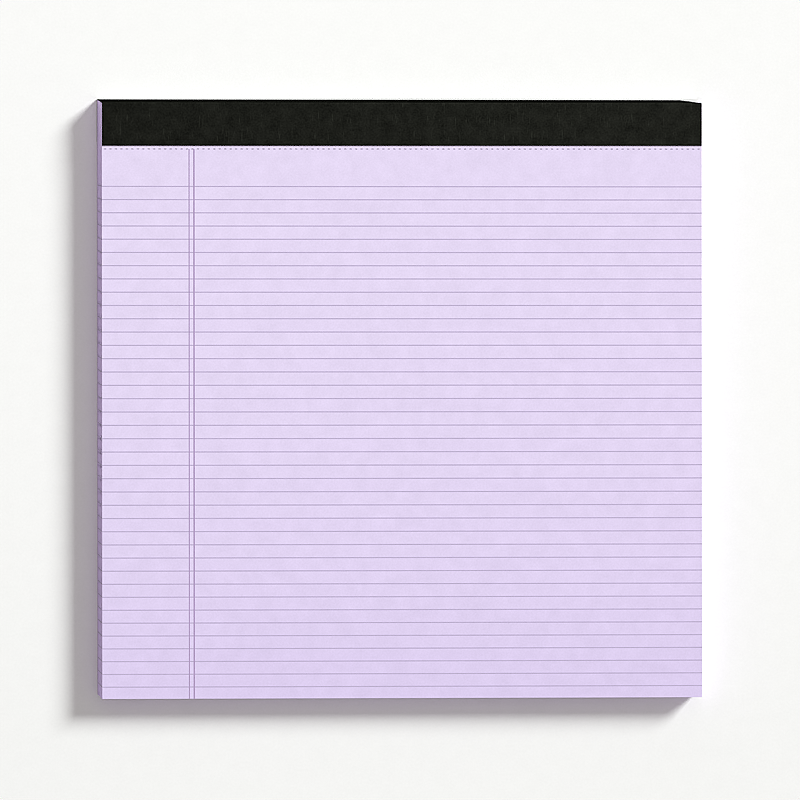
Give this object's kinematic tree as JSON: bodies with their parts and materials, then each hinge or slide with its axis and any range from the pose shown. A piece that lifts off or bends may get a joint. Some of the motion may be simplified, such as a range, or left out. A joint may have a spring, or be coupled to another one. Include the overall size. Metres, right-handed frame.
{
  "type": "writing pad",
  "caption": "Top-bound ruled writing pad: lilac perforated sheets with a double margin line, black tape folded over the head and a stiff chipboard back.",
  "frame": {"origin": "below the middle of the pad, on the surface that it lies on", "axes": "+X across the pad to the right, +Y towards the bound head, +Z out of the first sheet"},
  "size_m": [0.216, 0.2082, 0.0071],
  "materials": {
    "lilac_paper": "uncoated lilac writing paper",
    "chipboard": "plain grey chipboard",
    "binding_tape": "black grained binding tape, dull",
    "staple_wire": "bright wire",
    "ruling_ink": "purple-grey ruling ink",
    "margin_ink": "mauve ruling ink"
  },
  "bodies": {
    "root": {"paper_stack": "lilac_paper", "chipboard_back": "chipboard", "binding_tape": "binding_tape", "staples": "staple_wire", "ruled_lines": "ruling_ink", "margin_lines": "margin_ink"}
  },
  "joints": []
}
